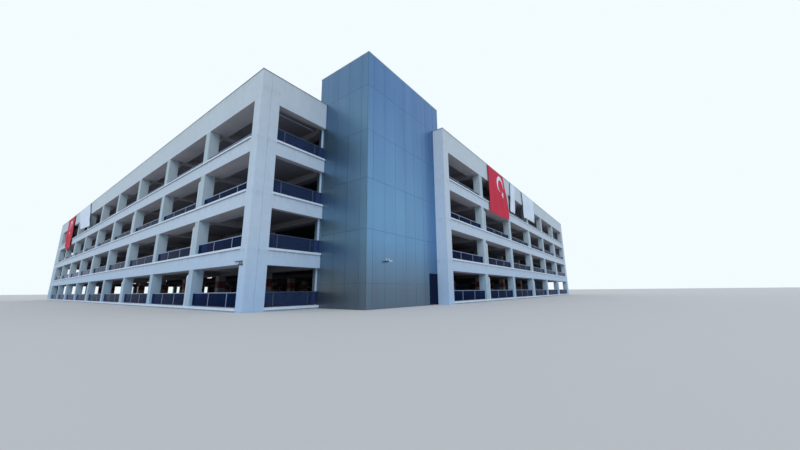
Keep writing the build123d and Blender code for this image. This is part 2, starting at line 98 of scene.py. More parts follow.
class Nodes:
    """A node tree whose nodes are added and linked by short calls."""

    def __init__(self, tree):
        self.tree = tree

    def add(self, kind, **settings):
        node = self.tree.nodes.new(kind)
        for key, value in settings.items():
            setattr(node, key, value)
        return node

    def put(self, value, socket):
        """Links a socket to another, or sets a number, a vector or a colour on it."""
        if isinstance(value, bpy.types.NodeSocket):
            self.tree.links.new(value, socket)
        elif socket.type == "RGBA":
            socket.default_value = (*value[:3], 1)
        else:
            socket.default_value = value

    def feed(self, node, *values, **inputs):
        """Sets or links inputs in their order, or by name with underscores for spaces."""
        for socket, value in zip(node.inputs, values):
            self.put(value, socket)
        for key, value in inputs.items():
            self.put(value, node.inputs[key.replace("_", " ")])
        return node

    def math(self, operation, a, b=0.0):
        return self.feed(self.add("ShaderNodeMath", operation=operation), a, b).outputs[0]

    def times(self, a, b):
        return self.math("MULTIPLY", a, b)

    def minus(self, a, b):
        return self.math("SUBTRACT", a, b)

    def scaled(self, value, low, high, start=0.0, end=1.0):
        """Maps low..high of a value to start..end, held at the ends."""
        node = self.add("ShaderNodeMapRange")
        return self.feed(node, Value=value, From_Min=low, From_Max=high, To_Min=start, To_Max=end).outputs[0]

    def split(self, vector=None):
        """The X, Y and Z of a vector, or of the place."""
        return self.feed(self.add("ShaderNodeSeparateXYZ"), vector or self.place).outputs

    def drawn_out(self, factors):
        """The place with each coordinate times a factor."""
        node = self.add("ShaderNodeVectorMath", operation="MULTIPLY")
        return self.feed(node, self.place, factors).outputs[0]

    def noise(self, scale, detail=2.0, vector=None):
        node = self.add("ShaderNodeTexNoise")
        return self.feed(node, Vector=vector or self.place, Scale=scale, Detail=detail).outputs["Fac"]


class Shader(Nodes):
    """A material on the object's own coordinates, with the effects that many share."""

    def __init__(self, name, **sockets):
        self.material = bpy.data.materials.new(name)
        self.material.use_nodes = True
        super().__init__(self.material.node_tree)
        self.place = self.add("ShaderNodeTexCoord").outputs["Object"]
        self.bsdf = self.feed(self.tree.nodes["Principled BSDF"], **sockets)

    def group(self, name, **inputs):
        """The output of a shared node group, fed with this material's values."""
        return self.feed(self.add("ShaderNodeGroup", node_tree=GROUPS[name]), **inputs).outputs[0]

    def stains(self, cloud, streak=3.0, share=0.5):
        """The mask of the shared weathering group, from its two scales and the streaks' share."""
        return self.group("weathering", Vector=self.place, Cloud_Scale=cloud, Streak_Scale=streak,
                          Streak_Share=share)

    def mix(self, factor, a, b, blend="MIX"):
        """Two colours mixed by a factor."""
        node = self.add("ShaderNodeMix", data_type="RGBA", blend_type=blend)
        for number, value in ((0, factor), (6, a), (7, b)):
            self.put(value, node.inputs[number])
        return node.outputs[2]

    def laid_over(self, tone, mask, share, other):
        """A tone with another colour over it, by a share of a mask."""
        return self.mix(self.times(mask, share), tone, other)

    def base(self, tone):
        self.put(tone, self.bsdf.inputs["Base Color"])

    def bump(self, height, strength, distance):
        node = self.feed(self.add("ShaderNodeBump"), Strength=strength, Distance=distance, Height=height)
        self.put(node.outputs["Normal"], self.bsdf.inputs["Normal"])

    def grain(self, scale, strength, distance, coarse=4.0):
        """Roughens the surface with the shared grain group."""
        height = self.group("grain", Vector=self.place, Scale=scale, Coarse_Scale=coarse)
        self.bump(height, strength, distance)


GROUPS = {}


class Group(Nodes):
    """A shared shader node group with named inputs and one output."""

    def __init__(self, name, inputs, output):
        super().__init__(bpy.data.node_groups.new(name, "ShaderNodeTree"))
        for label, default in inputs.items():
            kind = "NodeSocketVector" if default is None else "NodeSocketFloat"
            socket = self.tree.interface.new_socket(label, in_out="INPUT", socket_type=kind)
            if default is not None:
                socket.default_value = default
        self.tree.interface.new_socket(output, in_out="OUTPUT", socket_type="NodeSocketFloat")
        self.inputs = self.add("NodeGroupInput").outputs
        self.place = self.inputs.get("Vector")
        self.output = self.add("NodeGroupOutput").inputs[output]
        GROUPS[name] = self.tree

    def cell_tone(self, *values):
        """White noise of the whole numbers below two or three values."""
        floors = [self.math("FLOOR", value) for value in values]
        where = self.feed(self.add("ShaderNodeCombineXYZ"), *floors).outputs[0]
        node = self.add("ShaderNodeTexWhiteNoise", noise_dimensions=f"{len(values)}D")
        return self.feed(node, Vector=where).outputs[0]

    def finish(self, value):
        self.put(value, self.output)


def weathering_group():
    """Broad cloudy stains mixed with streaks drawn out upright, as a mask from 0 to 1."""
    g = Group("weathering", {"Vector": None, "Cloud Scale": 0.4, "Streak Scale": 3.0, "Streak Share": 0.5},
              "Mask")
    cloud = g.noise(g.inputs["Cloud Scale"], 6.0)
    streak = g.noise(g.inputs["Streak Scale"], 4.0, g.drawn_out((1.0, 1.0, 0.06)))
    both = g.add("ShaderNodeMix")
    for number, value in ((0, g.inputs["Streak Share"]), (2, cloud), (3, streak)):
        g.put(value, both.inputs[number])
    g.finish(g.scaled(both.outputs[0], 0.35, 0.7))


def grain_group():
    """Fine plaster or cast grain: small noise with coarser noise added to it."""
    g = Group("grain", {"Vector": None, "Scale": 60.0, "Coarse Scale": 4.0}, "Height")
    g.finish(g.math("ADD", g.noise(g.inputs["Scale"], 3.0), g.noise(g.inputs["Coarse Scale"])))


def underside_group():
    """1 where a surface faces down, 0 elsewhere, from the upward part of its normal."""
    g = Group("underside", {"From": -0.3, "To": -0.7}, "Mask")
    upward = g.split(g.add("ShaderNodeNewGeometry").outputs["Normal"])["Z"]
    g.finish(g.scaled(upward, g.inputs["From"], g.inputs["To"]))


def runoff_and_shade_group():
    """Streaks that hang from a ledge repeated at every pitch of height: dirt on the walls and parapets, and
    painted shade under the soffit on the pillars.

    The drop below the nearest ledge is the remainder of (ledge - z) by the pitch;
    the mask is 1 minus drop over reach, squared, times noise drawn out upright."""
    g = Group("runoff_and_shade", {"Vector": None, "Ledge": 0.0, "Pitch": STOREY, "Reach": 0.3, "Streak Scale": 9.0},
              "Mask")
    drop = g.math("FLOORED_MODULO", g.minus(g.inputs["Ledge"], g.split()["Z"]), g.inputs["Pitch"])
    near = g.scaled(g.math("DIVIDE", drop, g.inputs["Reach"]), 1.0, 0.0)
    streak = g.noise(g.inputs["Streak Scale"], 5.0, g.drawn_out((1.0, 1.0, 0.1)))
    g.finish(g.times(g.times(near, near), g.scaled(streak, 0.42, 0.72)))


def board_marks_group():
    """Tone of each shuttering board, from its number across its run and along it."""
    g = Group("board_marks", {"Vector": None, "Board": 0.15, "Length": 2.4}, "Tone")
    part = g.split()
    g.finish(g.cell_tone(g.math("DIVIDE", part["X"], g.inputs["Board"]),
                         g.math("DIVIDE", part["Y"], g.inputs["Length"])))


def panel_tone_group():
    """A tone of its own for every sheet of cladding, from its column and row numbers."""
    g = Group("panel_tone", {"Vector": None, "Column": 0.551, "Row": 1.55, "Foot": 0.715}, "Tone")
    part = g.split()
    height = g.math("DIVIDE", g.minus(part["Z"], g.inputs["Foot"]), g.inputs["Row"])
    g.finish(g.cell_tone(*[g.math("DIVIDE", part[way], g.inputs["Column"]) for way in "XY"], height))


def weave_group():
    """Plain weave: the larger of two crossed sets of threads, each a sine along U or V."""
    g = Group("weave", {"Vector": None, "Threads": 900.0}, "Height")
    part = g.split()
    g.finish(g.math("MAXIMUM", *[g.math("SINE", g.times(part[way], g.inputs["Threads"])) for way in "XY"]))


def dress(names, material):
    """Gives CAD nodes a material."""
    for name in names:
        slots = NODES[name].data.materials
        slots.clear()
        slots.append(material)


def starting(prefix):
    """The CAD nodes whose names start with a prefix."""
    return [name for name in NODES if name.startswith(prefix)]


def tint(tone, factor):
    """A colour made lighter or darker by one factor."""
    return tuple(min(1.0, c * factor) for c in tone)


# Surfaces

def grid_faces(rows, columns, wrap=False):
    """Quads between neighbouring points of a grid, row by row; a wrapped grid closes
    its last column on the first."""
    index = np.arange(rows * columns).reshape(rows, columns)
    if wrap:
        index = np.concatenate([index, index[:, :1]], axis=1)
    return np.stack([index[:-1, :-1], index[:-1, 1:], index[1:, 1:], index[1:, :-1]], axis=-1).reshape(-1, 4)


def turned(spine, across, normal, radius, sides):
    """A closed skin round a line of points.

    Every point carries a ring: the point plus its radius times (cosine of the angle
    times across, plus sine of the angle times normal). A disc closes each end.
    normal and radius may be one per point."""
    angle = np.linspace(0, 2 * np.pi, sides, endpoint=False)[None, :, None]
    radius = np.broadcast_to(radius, len(spine))[:, None, None]
    normal = np.broadcast_to(normal, spine.shape)[:, None]
    rings = spine[:, None] + radius * (np.cos(angle) * across + np.sin(angle) * normal)
    faces = grid_faces(len(spine), sides, wrap=True).tolist()
    last = (len(spine) - 1) * sides
    return rings.reshape(-1, 3), faces + [list(range(sides))[::-1], list(range(last, last + sides))]


def tube(path, across, radius, sides=20):
    """A round bar along a flat path; across is square to the path's plane."""
    path = np.asarray(path, float)
    ahead = np.gradient(path, axis=0)
    ahead /= np.linalg.norm(ahead, axis=1, keepdims=True)
    across = np.asarray(across, float) / np.linalg.norm(across)
    return turned(path, across, np.cross(ahead, across), radius, sides)


def swan_neck(foot, head, bend, count=18):
    """A pipe's route: upright from foot to the start of the bend, then a cubic curve
    with upright ends to head. The route lies in one upright plane."""
    foot, head = np.asarray(foot, float), np.asarray(head, float)
    start = np.array([foot[0], foot[1], head[2] - bend])
    lift = np.array([0, 0, bend * 0.5])
    t = np.linspace(0, 1, count)[:, None]
    curve = ((1 - t) ** 3 * start + 3 * (1 - t) ** 2 * t * (start + lift)
             + 3 * (1 - t) * t ** 2 * (head - lift) + t ** 3 * head)
    straight = np.linspace(foot, start, 12)[:-1]
    return np.concatenate([straight, curve])


def placed(name, data):
    """A new object in the scene."""
    thing = bpy.data.objects.new(name, data)
    bpy.context.scene.collection.objects.link(thing)
    return thing


def piece(name, parts, material, crease=35.0):
    """One mesh of several surfaces, given as (points, faces), riding on the building."""
    points, faces, count = [], [], 0
    for some_points, some_faces in parts:
        points.append(some_points)
        faces += [[corner + count for corner in face] for face in some_faces]
        count += len(some_points)
    mesh = bpy.data.meshes.new(name)
    mesh.from_pydata(np.concatenate(points).tolist(), [], faces)
    mesh.polygons.foreach_set("use_smooth", np.ones(len(faces), bool))
    mesh.set_sharp_from_angle(angle=math.radians(crease))
    mesh.materials.append(material)
    thing = placed(name, mesh)
    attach(thing, BUILDING)
    return thing


# Settings

def a_colour(name, description, *default):
    return FloatVectorProperty(name=name, description=description, default=default, subtype="COLOR", size=3,
                               min=0, max=1)


def a_length(name, description, default, **limits):
    return FloatProperty(name=name, description=description, default=default, unit="LENGTH", **limits)


def an_angle(name, description, degrees):
    return FloatProperty(name=name, description=description, default=math.radians(degrees), subtype="ANGLE")


class WallSettings(bpy.types.PropertyGroup):
    """Colours of the painted and bare concrete"""
    wall: a_colour("Wall", "Painted facade", 0.50, 0.60, 0.70)
    # painted shade: the paint is bluer halfway up, and darker and bluer near the ground
    middle: a_colour("Wall Middle Shade", "Painted facade halfway up", 0.49, 0.62, 0.78)
    foot: a_colour("Wall Foot Shade", "Painted facade near the ground", 0.36, 0.53, 0.77)
    sill: a_colour("Sill", "Bright copings", 0.60, 0.72, 0.86)
    dirt: a_colour("Dirt", "Stains that run down the paint", 0.16, 0.19, 0.23)
    concrete: a_colour("Concrete", "Undersides of decks and beams", 0.56, 0.54, 0.57)
    # painted shade: the decks inside get a darker copy of the concrete
    shade: a_colour("Inner Concrete Shade", "Decks and beams inside", 0.33, 0.32, 0.36)
    # painted shade: the colour concrete is darkened to deep inside the building
    indoor_shade: a_colour("Deep Inside Shade", "Concrete far from daylight", 0.03, 0.032, 0.045)
    deck: a_colour("Deck", "Driven tops of the decks", 0.13, 0.13, 0.14)
    column: a_colour("Column", "Inner columns", 0.36, 0.36, 0.35)
    band: a_colour("Column Band", "Painted band on the ground columns", 0.20, 0.025, 0.03)
    capping: a_colour("Capping", "Metal cappings", 0.28, 0.34, 0.41)
    sheathing: a_colour("Sheathing", "Tower walls behind the panels", 0.30, 0.50, 0.80)


class MetalSettings(bpy.types.PropertyGroup):
    """Colours of the metal, glass and door"""
    cladding: a_colour("Cladding", "Tower panels", 0.150, 0.305, 0.51)
    # painted reflection: the panels are deeper blue at the top, mirroring the sky, and greyer near the
    # ground, mirroring the ground
    cladding_top_reflection: a_colour("Cladding Top Reflection", "Tower panels at the top", 0.085, 0.185, 0.385)
    cladding_foot_reflection: a_colour("Cladding Foot Reflection", "Reflecting panels near the ground", 0.135, 0.185, 0.24)
    guard: a_colour("Guard", "Rails and posts", 0.24, 0.315, 0.49)
    front_guard: a_colour("Front Guard", "Rails and posts beside the tower", 0.05, 0.075, 0.12)
    glass: a_colour("Glass", "Tinted guard glass", 0.004, 0.044, 0.195)
    front_glass: a_colour("Front Glass", "Guard glass beside the tower", 0.10, 0.165, 0.36)
    door: a_colour("Door", "Door and frame", 0.002, 0.007, 0.026)
    steel: a_colour("Steel", "Handle", 0.50, 0.52, 0.55)


class BannerSettings(bpy.types.PropertyGroup):
    """Fabric of the hung banners"""
    red: a_colour("Red", "Red banners", 0.57, 0.030, 0.072)
    white: a_colour("White", "White banners", 0.65, 0.77, 0.94)
    stand: a_length("Stand-off", "Middle of the cloth in front of the facade", 0.068, min=0.03, max=0.1)
    fold: a_length("Fold", "Depth of the folds", 0.027, min=0, max=0.04)
    grid: IntProperty(name="Grid", description="Points along each edge of a banner", default=96, min=12,
                      max=200)


class FittingSettings(bpy.types.PropertyGroup):
    """Pipes and small fittings on the facades"""
    pipe: a_length("Downpipe Radius", "Outside radius of a downpipe", 0.036, min=0.01)
    bend: a_length("Bend Height", "Height of the swan neck", 0.24, min=0.1)
    white: a_colour("Pipe White", "Painted pipes", 0.56, 0.64, 0.74)
    dark: a_colour("Housing", "Dark camera housings", 0.03, 0.035, 0.045)


class StageSettings(bpy.types.PropertyGroup):
    """Floor, background, light and camera"""
    floor: a_colour("Floor", "Plain floor", 0.50, 0.52, 0.55)
    sky: a_colour("Background", "Plain background", 0.89, 0.975, 1.0)
    daylight: a_colour("Daylight", "Even light from all sides", 0.93, 0.97, 1.0)
    ambient: FloatProperty(name="Ambient", description="Strength of the even light", default=0.75, min=0)
    key: FloatProperty(name="Key", description="Strength of the soft lamp", default=1.2, min=0)
    lens: FloatProperty(name="Lens", description="Focal length on a 36 mm sensor", default=14.055, min=5)
    heading: an_angle("Heading", "Turn from +Y towards +X", 53.163)
    pitch: an_angle("Pitch", "Tilt above the horizon", 11.931)
    roll: an_angle("Roll", "Turn about the view", -0.553)
    eye: FloatVectorProperty(name="Eye", description="Camera from the near corner at ground level",
                             subtype="TRANSLATION", size=3, unit="LENGTH", default=(-4.0495, -7.9755, 0.5))


# Walls and concrete

FOOT_SHADE_TO_MIDDLE = (0.3, 2.4)  # heights between which the painted shade changes, darker and bluer towards the ground
MIDDLE_SHADE_TO_TOP = (3.5, 6.5)
PLAIN = (1.0, 1.0, 1.0)
PILLAR_SHADE = (0.80, 0.85, 0.82)  # painted shade: what the pillars' paint is multiplied by, so that they read as standing back in shade
BAND = (0.709, 1.001)  # lower and upper edge of the columns' band
BAND_BLUR = 0.003
ROOF_STARTS = SLAB_UNDERSIDE + 0.05
ROOF_BLUR = 0.04
DAYLIGHT_REACH = (0.8, 4.0)  # from the facade, where the painted shade inside starts and stops darkening


def painted_wall(name, use, ledge, reach, streaks, shade=PLAIN):
    """Painted concrete: cloudy stains, painted shade that turns the paint darker and bluer towards the
    ground, streaks that hang from the ledge of every storey, and bare concrete underneath. The streaks are
    dirt on walls and parapets and painted shade under the soffit on the pillars. shade, a painted shade,
    multiplies the paint."""
    look = Shader(name, Roughness=0.72)
    height = look.split()["Z"]
    # painted shade: the paint turns darker and bluer towards the ground
    tone = look.mix(look.scaled(height, *FOOT_SHADE_TO_MIDDLE), use.foot, use.middle)
    tone = look.mix(look.scaled(height, *MIDDLE_SHADE_TO_TOP), tone, use.wall)
    # painted shade: the paint is multiplied by the shade colour
    if shade != PLAIN:
        tone = look.mix(1.0, tone, shade, "MULTIPLY")
    soiled = tint(use.wall, 0.62)
    tone = look.laid_over(tone, look.stains(0.22, 2.4), 0.16, soiled)
    tone = look.mix(look.scaled(look.noise(5.0, 7.0), 0.35, 0.70, 0.0, 0.16), tone, soiled)
    # streaks from the ledge: dirt on walls and parapets, painted shade under the soffit on the pillars
    drip_and_shade = look.group("runoff_and_shade", Vector=look.place, Ledge=ledge, Pitch=STOREY, Reach=reach)
    tone = look.laid_over(tone, drip_and_shade, streaks, use.dirt)
    look.base(look.mix(look.group("underside"), tone, tint(use.concrete, 0.85)))
    look.grain(70.0, 0.2, 0.002)
    return look.material


def sill_finish(use):
    """Bright coping, soiled in streaks, with a dusty top and painted shade on its grey underside."""
    look = Shader("white_sill", Roughness=0.68)
    tone = look.laid_over(use.sill, look.stains(0.5, 7.0, 0.7), 0.35, tint(use.sill, 0.66))
    tone = look.laid_over(tone, look.group("underside", From=0.5, To=0.99), 0.35, use.dirt)
    # painted shade: the sills' undersides are darkened to half the concrete's colour
    look.base(look.mix(look.group("underside"), tone, tint(use.concrete, 0.5)))
    look.grain(90.0, 0.2, 0.0015)
    return look.material


def cast_concrete(name, use, under, top, side):
    """Cast concrete: board marks on undersides, worn dark tops, and painted shade that darkens it deep inside
    the building, with the distance in from the facades, below the roof."""
    look = Shader(name, Roughness=0.85)
    place = look.split()
    board = look.group("board_marks", Vector=look.place, Board=0.3)
    lower = look.laid_over(under, board, 0.28, tint(under, 0.7))
    tone = look.mix(look.group("underside"), side, lower)
    tone = look.mix(look.group("underside", From=0.3, To=0.7), tone, top)
    tone = look.laid_over(tone, look.stains(0.6, 1.5, 0.25), 0.4, use.dirt)
    # painted shade: darker with the distance in from the facades, below the roof
    inward = look.math("MINIMUM", look.minus(place["X"], NEAR_X), look.minus(place["Y"], WING_Y))
    below_roof = look.scaled(place["Z"], ROOF_STARTS, ROOF_STARTS + ROOF_BLUR, 1.0, 0.0)
    depth = look.times(look.scaled(inward, *DAYLIGHT_REACH, 0.0, 0.8), below_roof)
    look.base(look.mix(depth, tone, use.indoor_shade))
    look.grain(40.0, 0.3, 0.003)
    return look.material


def column_finish(name, use, banded):
    """Painted column, scuffed in patches; the ground columns carry a coloured band,
    the product of a rising and a falling step of the height."""
    look = Shader(name, Roughness=0.6)
    height = look.split()["Z"]
    tone = look.laid_over(use.column, look.stains(1.4, 5.0), 0.5, tint(use.column, 0.55))
    if banded:
        rise, fall = [look.scaled(height, edge - BAND_BLUR, edge + BAND_BLUR, *ends)
                      for edge, ends in zip(BAND, ((0.0, 1.0), (1.0, 0.0)))]
        worn = look.scaled(look.noise(14.0, 4.0), 0.3, 0.6, 0.75, 1.0)
        tone = look.laid_over(tone, look.times(rise, fall), worn, use.band)
    look.base(tone)
    look.grain(50.0, 0.25, 0.002)
    return look.material


class CARPARK_OT_walls(bpy.types.Operator):
    """Finish the painted facades, their copings and the metal cappings"""
    bl_idname = "carpark.walls"
    bl_label = "Painted Walls"

    def execute(self, context):
        use = context.scene.carpark_walls
        wall = painted_wall("white_wall", use, SILL_BOTTOM, 0.30, 0.35)
        dress(["corner_piers", "plinths", "end_post"] + starting("spandrels"), wall)
        # the pillars carry painted shade: darkened all over and streaked darker under the soffit
        dress(["facade_pillars"], painted_wall("shaded_pillar_paint", use, SOFFIT, 0.40, 0.45, PILLAR_SHADE))
        dress(["parapets"], painted_wall("parapet_wall", use, CAP_UNDERSIDE, 0.45, 0.30))
        dress(["sills"], sill_finish(use))
        cap = Shader("grey_capping", Roughness=0.42, Metallic=0.25)
        tone = cap.laid_over(use.capping, cap.stains(0.8, 4.0), 0.5, tint(use.capping, 0.55))
        # painted shadow: the cappings' undersides are darkened to three tenths of their colour
        cap.base(cap.mix(cap.group("underside"), tone, tint(use.capping, 0.3)))
        cap.grain(20.0, 0.1, 0.001)
        dress(["parapet_caps", "tower_caps"], cap.material)
        return {"FINISHED"}


class CARPARK_OT_concrete(bpy.types.Operator):
    """Finish the decks, beams, columns and the tower's own walls"""
    bl_idname = "carpark.concrete"
    bl_label = "Concrete"

    def execute(self, context):
        use = context.scene.carpark_walls
        side = tint(use.concrete, 0.7)
        beams = cast_concrete("bare_concrete", use, use.concrete, use.deck, side)
        tower = cast_concrete("tower_concrete", use, tint(use.concrete, 0.8), tint(use.concrete, 0.5), side)
        # painted shade: the decks are a darker copy of the beams' concrete
        decks = cast_concrete("shaded_inner_concrete", use, use.shade, tint(use.deck, 0.7), tint(use.shade, 0.8))
        dress(["ring_beams", "row_beams"], beams)
        dress(["ground_slab", "roof_deck"] + starting("deck_level"), decks)
        dress(["tower_wall_back", "tower_wall_right", "tower_floor", "tower_roof"], tower)
        dress(["tower_wall_front", "tower_wall_left", "tower_wall_beside_door", "tower_wall_over_door"],
              self.sheathing(use))
        dress(starting("inner_columns"), column_finish("column_paint", use, False))
        dress(["inner_columns_level_0"], column_finish("banded_column_paint", use, True))
        return {"FINISHED"}

    def sheathing(self, use):
        """Coloured outside, behind the joints of the cladding, and bare concrete inside."""
        look = Shader("sheathing", Roughness=0.6)
        place = look.split()
        inward = look.math("MINIMUM", look.minus(place["X"], TOWER_LOW.x),
                           look.minus(place["Y"], TOWER_LOW.y))
        grey = look.laid_over(tint(use.concrete, 0.6), look.stains(1.0), 0.4, use.dirt)
        look.base(look.mix(look.scaled(inward, 0.03, 0.05), use.sheathing, grey))
        return look.material


# Metal and glass

GUARD_LINE = 0.09  # middle of the guards behind the facade
GROUND_REFLECTION_TO_PANEL = (0.5, 2.0)  # heights between which the painted reflection changes: the ground's near the foot, the panels' own colour, the sky's at the top
PANEL_TO_SKY_REFLECTION = (3.0, 7.2)
LEFT_SIDE_REFLECTION_TINT = (1.10, 0.95, 0.78)  # painted reflection: what the tower's left side is multiplied by, warmer and less blue, for the building beside it mirrored in the panels
LIGHT_COVER = (0.75, 0.74, 0.70), (0.9, 0.9, 0.88)
LIGHT_GLOW = (1.0, 0.86, 0.68), (1.0, 0.95, 0.86)


def beside_tower(look):
    """One on the guards of the short front bays, nothing on the others."""
    place = look.split()
    off_front = look.math("ABSOLUTE", look.minus(place["Y"], NEAR_Y + GUARD_LINE))
    return look.times(look.scaled(off_front, 0.2, 0.3, 1.0, 0.0),
                      look.scaled(place["X"], NEAR_X + 0.15, NEAR_X + 0.3))


class CARPARK_OT_guards(bpy.types.Operator):
    """Finish the guards' rails, posts and tinted glass"""
    bl_idname = "carpark.guards"
    bl_label = "Guards"

    def execute(self, context):
        use = context.scene.carpark_metal
        guard = Shader("guard_metal", Roughness=0.42, Metallic=0.35)
        metal = guard.mix(beside_tower(guard), use.guard, use.front_guard)
        guard.base(guard.laid_over(metal, guard.stains(3.0, 9.0), 0.35, tint(use.guard, 0.4)))
        guard.grain(160.0, 0.08, 0.0006, 30.0)
        dress(starting("guard_frames") + ["banner_battens"], guard.material)
        glass = Shader("guard_glass", Roughness=0.05, Transmission_Weight=0.85, IOR=1.05)
        short = beside_tower(glass)
        clean, dusty = [glass.mix(short, tint(use.glass, factor), tint(use.front_glass, factor))
                        for factor in (1.0, 1.6)]
        glass.base(glass.laid_over(clean, glass.stains(1.2, 6.0), 0.35, dusty))
        dress(["guard_glass"], glass.material)
        return {"FINISHED"}


class CARPARK_OT_cladding(bpy.types.Operator):
    """Finish the blue panels of the stair tower"""
    bl_idname = "carpark.cladding"
    bl_label = "Tower Cladding"

    def execute(self, context):
        use = context.scene.carpark_metal
        look = Shader("blue_cladding", Metallic=0.92)
        place = look.split()
        # painted reflection: greyer near the ground, deeper blue towards the top
        tone = look.mix(look.scaled(place["Z"], *GROUND_REFLECTION_TO_PANEL), use.cladding_foot_reflection, use.cladding)
        tone = look.mix(look.scaled(place["Z"], *PANEL_TO_SKY_REFLECTION), tone, use.cladding_top_reflection)
        # painted reflection: the left side is tinted warmer and less blue
        left_side_reflection = look.scaled(place["X"], TOWER_LOW.x + 0.02, TOWER_LOW.x + 0.04, 1.0, 0.0)
        tone = look.mix(left_side_reflection, tone, look.mix(1.0, tone, LEFT_SIDE_REFLECTION_TINT, "MULTIPLY"))
        panel = look.group("panel_tone", Vector=look.place)
        tone = look.laid_over(tone, panel, 0.10, tint(use.cladding_top_reflection, 0.7))
        look.base(look.laid_over(tone, look.stains(0.35, 2.2, 0.8), 0.14, tint(use.cladding, 1.25)))
        wiped = look.noise(1.0, 3.0, look.drawn_out((7.0, 7.0, 0.35)))
        look.put(look.scaled(wiped, 0.3, 0.7, 0.36, 0.42), look.bsdf.inputs["Roughness"])
        look.bump(look.noise(0.5, 0.0), 0.05, 0.02)
        dress(starting("tower_cladding"), look.material)
        return {"FINISHED"}


class CARPARK_OT_door(bpy.types.Operator):
    """Finish the tower door, its frame and its handle"""
    bl_idname = "carpark.door"
    bl_label = "Tower Door"

    def execute(self, context):
        use = context.scene.carpark_metal
        paint = Shader("door_paint", Roughness=0.5, Specular_IOR_Level=0.04)
        paint.base(paint.laid_over(use.door, paint.stains(2.0, 8.0), 0.4, tint(use.door, 3.0)))
        paint.grain(220.0, 0.1, 0.0005, 8.0)
        dress(["door_frame", "door_leaf"], paint.material)
        steel = Shader("door_steel", Roughness=0.3, Metallic=1.0)
        brushed = steel.noise(1.0, 3.0, steel.drawn_out((30.0, 900.0, 900.0)))
        steel.base(steel.mix(brushed, tint(use.steel, 0.8), use.steel))
        steel.bump(brushed, 0.1, 0.0003)
        dress(["door_handle"], steel.material)
        return {"FINISHED"}


class CARPARK_OT_lights(bpy.types.Operator):
    """Finish the strip lights under the decks"""
    bl_idname = "carpark.lights"
    bl_label = "Strip Lights"

    def execute(self, context):
        cover = Shader("light_cover", Roughness=0.4, Emission_Strength=2.2)
        cloud = cover.noise(6.0)
        cover.base(cover.mix(cloud, *LIGHT_COVER))
        cover.put(cover.mix(cloud, *LIGHT_GLOW), cover.bsdf.inputs["Emission Color"])
        dress(["ceiling_lights"], cover.material)
        return {"FINISHED"}


# Banners

TOP = 6.905  # height of the banners' top edges
CLOTH_ON_BATTEN = 0.039  # middle of the cloth in front of the facade, at its top edge
HEM = 0.023  # width of the hem, as a share of the banner
EYELET_METAL = (0.35, 0.37, 0.40), (0.55, 0.57, 0.60)
BANNERS = {
    # facade, colour, fixings, left edge from the top, points between the ends of the foot, right edge
    # from the top; (along the facade, height) in metres from the near corner
    "banner_red_wing": ("wing", "red", 5,
                        [(10.910, TOP), (10.890, 6.045), (10.795, 4.380)],
                        [(12.290, 4.345)],
                        [(13.225, TOP), (13.345, 6.205), (13.575, 5.715), (13.760, 5.100), (13.735, 4.435)]),
    "banner_red_left": ("left", "red", 6,
                        [(31.500, TOP), (31.155, 5.975), (31.320, 5.285), (31.035, 4.645)],
                        [(30.215, 4.185)],
                        [(28.660, TOP), (28.300, 5.575), (28.200, 4.460), (28.035, 4.120)]),
    "banner_white_wing_1": ("wing", "white", 3,
                            [(14.500, TOP), (14.015, 5.000)], [], [(15.420, TOP), (14.960, 5.030)]),
    "banner_white_wing_2": ("wing", "white", 6,
                            [(16.850, TOP), (16.885, 5.160)], [], [(19.800, TOP), (19.600, 5.225)]),
    "banner_white_left": ("left", "white", 8,
                          [(27.000, TOP), (24.950, 5.240)], [], [(22.900, TOP), (21.550, 5.060)]),
}
FIGURES = {
    # crescent's centre along the facade and in height, breadth of the flag, lean of the star from
    # straight down
    "banner_red_wing": (12.60, 6.25, 1.9, math.radians(28)),
    "banner_red_left": (29.90, 6.15, 1.9, 0.0),
}


def along_edge(corners, share):
    """Points of an open line of corners at shares of its length, rounded a little by
    averaging each with its neighbours."""
    corners = np.asarray(corners, float)
    steps = np.linalg.norm(np.diff(corners, axis=0), axis=1)
    reached = np.concatenate([[0.0], np.cumsum(steps)]) / steps.sum()
    points = np.stack([np.interp(share, reached, corners[:, k]) for k in (0, 1)], axis=1)
    for _ in range(6):
        points[1:-1] = 0.25 * points[:-2] + 0.5 * points[1:-1] + 0.25 * points[2:]
    return points


